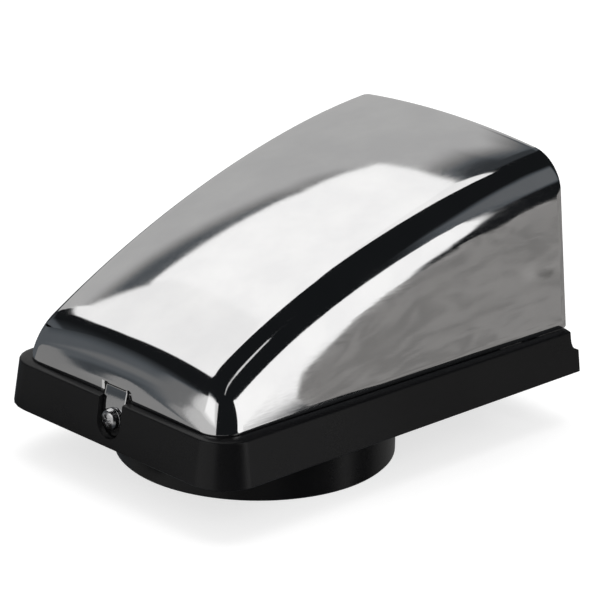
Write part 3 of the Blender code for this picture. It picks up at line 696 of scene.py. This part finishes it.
def make_screw(steel):
    rings = thread_rings()
    for radius, z in screw_profile():
        ring = []
        for k in range(SCREW_SEGMENTS):
            angle = math.tau * k / SCREW_SEGMENTS
            ring.append((radius * math.cos(angle), radius * math.sin(angle), z))
        rings.append(ring)
    mesh_data = bmesh.new()
    add_loft(mesh_data, rings)
    screw = new_object("cross_recess_screw", mesh_data)
    mesh_data = bmesh.new()
    recess = [
        cross_ring(0.16 * HEAD_RADIUS, 0.07 * HEAD_RADIUS, 0.30 * HEAD_HEIGHT),
        cross_ring(0.36 * HEAD_RADIUS, 0.10 * HEAD_RADIUS, 0.42 * HEAD_HEIGHT),
        cross_ring(0.60 * HEAD_RADIUS, 0.15 * HEAD_RADIUS, 1.10 * HEAD_HEIGHT),
    ]
    add_loft(mesh_data, recess)
    apply_boolean(screw, new_object("cross_recess", mesh_data), "DIFFERENCE")
    turn = Matrix.Translation((TAB_FACE - HEAD_GAP, 0.0, SCREW_HEIGHT))
    turn = turn @ Matrix.Rotation(-math.pi / 2, 4, "Y")
    turn = turn @ Matrix.Rotation(math.radians(HEAD_TURN), 4, "Z")
    screw.data.transform(turn)
    round_edges(screw, SCREW_EDGE_ROUND, BEVEL_ANGLE)
    apply_modifiers(screw)
    shade(screw, SCREW_SHADE_ANGLE)
    screw.data.materials.clear()
    screw.data.materials.append(steel)
    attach(screw, "screw")
    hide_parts("hood_screw")


# The studio's panels, seen from the object: name, corners as (azimuth, elevation), edge softness
# and brightness. Azimuth runs from the mouth's direction towards the far side. A later panel lies
# in front of an earlier one. Only what lies inside all of its edges lights up, so it is convex.
PANELS = [
    ("far_wall", [(34, 52), (88, 43), (91, 27), (80, 10), (60, -6), (44, -10), (36, 12)],
     0.03, 0.46),
    ("wall_shade", [(57, 41), (80, 43), (88, 37), (87, 32.5), (76, 34.5), (66, 36.5), (57, 37.5)],
     0.085, 0.085),
    ("corner_fade", [(28, 42), (42, 38), (41.5, 24), (28, 20)], 0.06, 0.10),
    ("corner_shade", [(28, 56), (46, 49), (49.5, 43), (45, 37), (36, 34), (26, 42)], 0.09, 0.04),
    ("edge_box", [(8, 60), (47.3, 45.3), (62, 60), (58, 78), (38, 74), (15, 68)], 0.008, 0.98),
    ("roof_box", [(47, 45), (53, 37.3), (81, 39.3), (110, 50), (119, 70), (95, 78), (58, 78.5)],
     0.013, 1.06),
    ("nose_box", [(80.5, 42), (86, 30.5), (103, 29.5), (112, 31.5), (120, 35), (137, 48), (137, 59),
                  (118, 71), (95, 71)], 0.02, 0.98),
    ("far_ground", [(50, -3), (84, -2.5), (108, 4), (112, -24), (50, -24)], 0.06, 0.09),
    ("nose_wall", [(80, 6), (146, 23), (152, -40), (80, -40)], 0.24, 0.105),
    ("nose_ridge", [(124, 8), (132, 11), (144, 19), (144, 8), (134, 5)], 0.07, 0.16),
    ("nose_glow", [(139.5, 22), (147, 26), (147, -10), (139.5, -10)], 0.05, 0.165),
    ("nose_dip", [(118, -1), (138, 0), (138, -24), (118, -24)], 0.09, 0.06),
    ("nose_ground", [(104, -11), (150, -12), (150, -60), (104, -60)], 0.01, 0.25),
    ("far_hump", [(106, -2), (118, 3), (126, 5), (128.2, 3.5), (131, -3), (132.6, -12), (131, -22),
                  (102, -22)], 0.012, 0.22),
    ("tab_hump", [(132.8, -17), (134.2, -7.2), (135, -4.3), (136.2, -2.8), (137.2, -5), (138, -17)],
     0.006, 0.25),
    ("near_hump", [(137.6, -17), (139, -6.4), (140.6, -1.2), (142, 1), (141, -4), (139, -17)],
     0.006, 0.25),
    ("left_low", [(144.1, 10), (140.0, -8), (135.6, -26), (-157, -26), (-157, 10)], 0.005, 0.56),
    ("left_box", [(144.9, 29.5), (157, 33.5), (174, 36.5), (-172, 38.5), (-157, 36), (-157, 9),
                  (144.0, 9)], 0.008, 0.68),
    ("left_glow", [(158, 33), (176, 36), (-170, 36), (-163, 13), (158, 15)], 0.14, 1.06),
    ("near_halo", [(-62, 34), (-52, 39), (-42, 40), (-32, 34), (-32, 4), (-54, 5), (-62, 22)],
     0.17, 0.13),
    ("near_dark", [(-110, -8), (-20, -8), (-20, -50), (-110, -50)], 0.02, 0.01),
    ("near_box", [(-92, 35.5), (-86, 37.5), (-75, 31), (-64, 25), (-59, 18.5), (-49.3, -19.3),
                  (-49.3, -30), (-62, -30), (-73, -6), (-84, 8), (-89, 22)], 0.018, 1.08),
    ("strip_lamp", [(-103, 61.5), (-91, 64), (-93, 66.8), (-105, 66)], 0.01, 0.75),
    ("strip_tail", [(-132, 50), (-130.5, 48.5), (-102, 60.5), (-104, 63.5)], 0.01, 0.6),
]
DARK = 0.009
# Elevations in degrees, under which the table shows and under which the object's painted shadow
# by its foot does. The softness is half a soft edge's width, in the sine of the elevation.
GROUND_EDGE = -13.0
GROUND_SOFTNESS = 0.006
GROUND = 0.21
FOOT_SHADOW_EDGE = -40.0
FOOT_SHADOW_SOFTNESS = 0.1
FOOT_SHADOW_LEVEL = 0.05
# Dim light is bluish and brighter light slightly warm: levels, and red and blue at each
TINT_LEVELS = (0.09, 0.18)
TINT_RED = (0.90, 1.005)
TINT_BLUE = (1.10, 0.99)
TENT_RADIUS = 9.0

# The floor and the world: what lights the object, and what the camera sees
FLOOR_RADIUS = 8.0
FLOOR_MATT = (0.8, 0.8, 0.8, 1.0)
FLOOR_SEEN = (0.5, 0.5, 0.5, 1.0)
FLOOR_GLOW = 0.7
WORLD_LIGHT = 0.55
WHITE = (1.0, 1.0, 1.0, 1.0)


def direction(azimuth, elevation):
    """The unit vector at an azimuth from +X towards +Y and an elevation, in degrees."""
    azimuth, elevation = math.radians(azimuth), math.radians(elevation)
    level = math.cos(elevation)
    return Vector((math.cos(azimuth) * level, math.sin(azimuth) * level, math.sin(elevation)))


def panel_mask(nodes, unit, corners, softness):
    """1 inside a flat panel's outline and 0 outside, with soft edges."""
    directions = [direction(*corner) for corner in corners]
    middle = sum(directions, Vector()) / len(directions)
    inside = None
    for start, end in zip(directions, directions[1:] + directions[:1]):
        edge = start.cross(end).normalized()
        if edge.dot(middle) < 0:
            edge.negate()
        links = {0: unit, 1: edge}
        depth = nodes.add("ShaderNodeVectorMath", links, operation="DOT_PRODUCT").outputs["Value"]
        inside = depth if inside is None else nodes.maths("MINIMUM", inside, depth)
    return nodes.ramp(inside, -softness / 2, softness / 2, smooth=True)


def below(nodes, height, elevation, softness, low_value, high_value):
    """One value under an elevation and another above it, with a soft edge."""
    edge = math.sin(math.radians(elevation))
    return nodes.ramp(height, edge - softness, edge + softness, low_value, high_value, smooth=True)


def laid_over(nodes, level, bright, mask):
    """A level with a brightness laid over it where the mask is 1."""
    change = nodes.maths("SUBTRACT", bright, level)
    return nodes.maths("MULTIPLY_ADD", mask, change, level)


def tent_material():
    """The tent's light by direction: soft-edged flat panels over a dark room and a grey table."""
    material, nodes = new_light_material("tent")
    place = nodes.add("ShaderNodeTexCoord").outputs["Object"]
    unit = nodes.add("ShaderNodeVectorMath", {0: place}, operation="NORMALIZE").outputs[0]
    height = nodes.axis(unit, "Z")
    level = below(nodes, height, GROUND_EDGE, GROUND_SOFTNESS, GROUND, DARK)
    for _, corners, softness, bright in PANELS:
        level = laid_over(nodes, level, bright, panel_mask(nodes, unit, corners, softness))
    # Painted shadow: the object's own shadow on the table, darkest under the steepest elevations
    under = below(nodes, height, FOOT_SHADOW_EDGE, FOOT_SHADOW_SOFTNESS, 1.0, 0.0)
    level = laid_over(nodes, level, FOOT_SHADOW_LEVEL, under)
    red = nodes.ramp(level, *TINT_LEVELS, *TINT_RED)
    blue = nodes.ramp(level, *TINT_LEVELS, *TINT_BLUE)
    colour = nodes.add("ShaderNodeCombineXYZ", {"X": red, "Y": 1.0, "Z": blue}).outputs["Vector"]
    glow = nodes.add("ShaderNodeEmission", {"Color": colour, "Strength": level}).outputs[0]
    finish_tree(nodes, "ShaderNodeOutputMaterial", glow)
    return material


def only_in_reflections(thing):
    thing.visible_camera = False
    thing.visible_diffuse = False
    thing.visible_transmission = False
    thing.visible_volume_scatter = False
    thing.visible_shadow = False


def make_tent():
    mesh_data = bmesh.new()
    bmesh.ops.create_uvsphere(mesh_data, u_segments=64, v_segments=32, radius=TENT_RADIUS)
    tent = new_object("tent", mesh_data)
    tent.data.shade_smooth()
    tent.data.materials.append(tent_material())
    only_in_reflections(tent)


def background_shader(nodes, plain, seen_shader):
    """One shader for light that falls on the object, and another where it is seen or mirrored."""
    path = nodes.add("ShaderNodeLightPath")
    seen = nodes.maths("MAXIMUM", path.outputs["Is Camera Ray"], path.outputs["Is Glossy Ray"])
    seen = nodes.maths("MAXIMUM", seen, path.outputs["Is Transmission Ray"])
    return nodes.add("ShaderNodeMixShader", {0: seen, 1: plain, 2: seen_shader}).outputs[0]


def make_floor():
    """A white floor that keeps the object's shadow, and that the hood's reflections don't see."""
    material, nodes = new_light_material("floor")
    matt = nodes.add("ShaderNodeBsdfDiffuse", {"Color": FLOOR_MATT}).outputs[0]
    lit = nodes.add("ShaderNodeBsdfDiffuse", {"Color": FLOOR_SEEN}).outputs[0]
    white = nodes.add("ShaderNodeEmission", {"Strength": FLOOR_GLOW}).outputs[0]
    bright = nodes.add("ShaderNodeAddShader", {0: lit, 1: white}).outputs[0]
    finish_tree(nodes, "ShaderNodeOutputMaterial", background_shader(nodes, matt, bright))
    mesh_data = bmesh.new()
    bmesh.ops.create_circle(mesh_data, cap_ends=True, segments=96, radius=FLOOR_RADIUS)
    floor = new_object("floor", mesh_data)
    floor.location.z = cad_low.z
    floor.data.materials.append(material)
    floor.visible_glossy = False


# The two cards on the floor beside the object: corners in mm
# The black card is painted shadow: the dark floor by the base's nose, where the base shades it
SHADOW_CARD_CORNERS = [(-122, 0), (-60, 0), (-60, 115), (-122, 115)]
# The grey card glows with painted light: the grey reflection along the hood's near side
GREY_CARD_CORNERS = [
    (66, -60), (64, -150), (76, -182), (100, -213), (150, -235), (205, -236), (700, -233.5),
    (700, -60),
]
CARD_LIFT = 0.4 * MM
CARD_COLOUR = (1.0, 0.975, 0.945, 1.0)
# The grey card's own glow levels, its count of painted folds, and the one small painted fold
CARD_LEVELS = (0.205, 0.27)
PAINTED_FOLD_WAVES = 26.0
PAINTED_FOLD_PLACE = (213.5 * MM, -170.5 * MM, 0.0)
PAINTED_FOLD_WOBBLE = 9 * MM
PAINTED_FOLD_RADII = (8 * MM, 11 * MM, 20 * MM)  # dark inside the first, brightest at the second
PAINTED_FOLD_LEVELS = (0.7, 1.22)
CARD_EDGE = (-231 * MM, -226 * MM)
CARD_EDGE_LEVEL = 1.2


def painted_grey_glow(nodes, place):
    """The flat grey card's painted light: soft folds, a brighter edge and one small dark fold with
    a rim.
    """
    # Painted light and shade in the shapes of folds, on a flat card
    folds = nodes.noise(nodes.stretch(place, (13.0, 22.0, 13.0)), distortion=2.2)
    waves = nodes.maths("SINE", nodes.maths("MULTIPLY", folds, PAINTED_FOLD_WAVES))
    level = nodes.ramp(waves, -1.0, 1.0, *CARD_LEVELS, smooth=True)
    # One small painted dark spot with a painted bright rim
    links = {0: place, 1: PAINTED_FOLD_PLACE}
    far = nodes.add("ShaderNodeVectorMath", links, operation="DISTANCE").outputs["Value"]
    far = nodes.maths("MULTIPLY_ADD", folds, PAINTED_FOLD_WOBBLE, far)
    inner, crest, outer = PAINTED_FOLD_RADII
    fold = nodes.ramp(far, inner, crest, *PAINTED_FOLD_LEVELS, smooth=True)
    fade = nodes.ramp(far, crest, outer, 1.0, 0.0, smooth=True)
    fold = nodes.maths("MULTIPLY_ADD", nodes.maths("SUBTRACT", fold, 1.0), fade, 1.0)
    # A painted brighter edge
    edge = nodes.ramp(nodes.axis(place, "Y"), *CARD_EDGE, CARD_EDGE_LEVEL, 1.0, smooth=True)
    return nodes.maths("MULTIPLY", nodes.maths("MULTIPLY", level, fold), edge)


def make_card(name, corners, folded):
    """A glowing card on the floor beside the object, seen only in reflections: grey with painted
    folds, or black as painted shadow.
    """
    material, nodes = new_light_material(name)
    # Without folds the card is the black one, whose dark is painted shadow
    level = DARK
    if folded:
        level = painted_grey_glow(nodes, nodes.add("ShaderNodeTexCoord").outputs["Object"])
    glow = nodes.add("ShaderNodeEmission", {"Color": CARD_COLOUR, "Strength": level}).outputs[0]
    finish_tree(nodes, "ShaderNodeOutputMaterial", glow)
    mesh_data = bmesh.new()
    mesh_data.faces.new([mesh_data.verts.new((x * MM, y * MM, 0.0)) for x, y in corners])
    card = new_object(name, mesh_data)
    card.location.z = cad_low.z + CARD_LIFT
    card.data.materials.append(material)
    only_in_reflections(card)


# Name, place, size and power
LAMPS = [
    ("overhead", (0.3, 0.3, 1.6), 1.4, 14.0),
    ("near", (-0.9, -1.2, 0.9), 1.0, 6.0),
]


def make_lamp(name, place, size, power):
    """A square lamp turned towards the origin, which reflections don't see."""
    lamp = bpy.data.lights.new(name, "AREA")
    lamp.size = size
    lamp.energy = power
    thing = bpy.data.objects.new(name, lamp)
    thing.location = place
    thing.rotation_mode = "QUATERNION"
    thing.rotation_quaternion = (-Vector(place)).to_track_quat("-Z", "Y")
    thing.visible_glossy = False
    bpy.context.scene.collection.objects.link(thing)


def make_world():
    world = bpy.data.worlds.new("studio")
    world.use_nodes = True
    world.node_tree.nodes.clear()
    nodes = Nodes(world.node_tree)
    plain = nodes.add("ShaderNodeBackground", {"Strength": WORLD_LIGHT}).outputs[0]
    white = nodes.add("ShaderNodeBackground", {"Color": WHITE, "Strength": 1.0}).outputs[0]
    finish_tree(nodes, "ShaderNodeOutputWorld", background_shader(nodes, plain, white))
    bpy.context.scene.world = world


def make_camera():
    """The photograph's camera, looking at the origin apart from its offset and roll."""
    azimuth, elevation = math.radians(VIEW_AZIMUTH), math.radians(VIEW_ELEVATION)
    level = math.cos(elevation)
    back = Vector((math.sin(azimuth) * level, -math.cos(azimuth) * level, math.sin(elevation)))
    right = Vector((math.cos(azimuth), math.sin(azimuth), 0.0))
    up = back.cross(right)
    roll = math.radians(VIEW_ROLL)
    rolled_right = right * math.cos(roll) + up * math.sin(roll)
    rolled_up = up * math.cos(roll) - right * math.sin(roll)
    data = bpy.data.cameras.new("photo_view")
    data.sensor_width = SENSOR
    data.lens = SENSOR * FOCAL_PIXELS / IMAGE_PIXELS
    data.clip_start, data.clip_end = 0.05, 50.0
    camera = bpy.data.objects.new("photo_view", data)
    place = back * VIEW_DISTANCE + rolled_right * VIEW_OFFSET[0] + rolled_up * VIEW_OFFSET[1]
    axes = Matrix((rolled_right, rolled_up, back)).transposed().to_4x4()
    camera.matrix_world = Matrix.Translation(place) @ axes
    bpy.context.scene.collection.objects.link(camera)
    bpy.context.scene.camera = camera


def main():
    bpy.context.scene.view_settings.view_transform = "Standard"
    plastic = black_plastic()
    plain_steel = mill_steel("plain_stainless", 0.25, 0.4)
    screw_steel = mill_steel("screw_stainless", 0.14, 0.24)
    make_hood(polished_steel())
    dressed_copy("base", "moulded_base", "base", plastic, 0.25 * MM)
    for side in ("left", "right"):
        node, name = "rear_hook_" + side, "dressed_hook_" + side
        dressed_copy(node, name, "hood", plain_steel, 0.12 * MM)
    dressed_copy("screw_insert", "knurled_insert", "base", brass_metal(), 0.0)
    make_screw(screw_steel)
    make_floor()
    # Glowing grey card: the painted reflection along the hood's near side
    make_card("grey_reflection_card", GREY_CARD_CORNERS, folded=True)
    # Painted shadow on the floor by the base's nose, seen only in reflections
    make_card("painted_shadow_card", SHADOW_CARD_CORNERS, folded=False)
    make_tent()
    make_world()
    for lamp in LAMPS:
        make_lamp(*lamp)
    make_camera()


main()
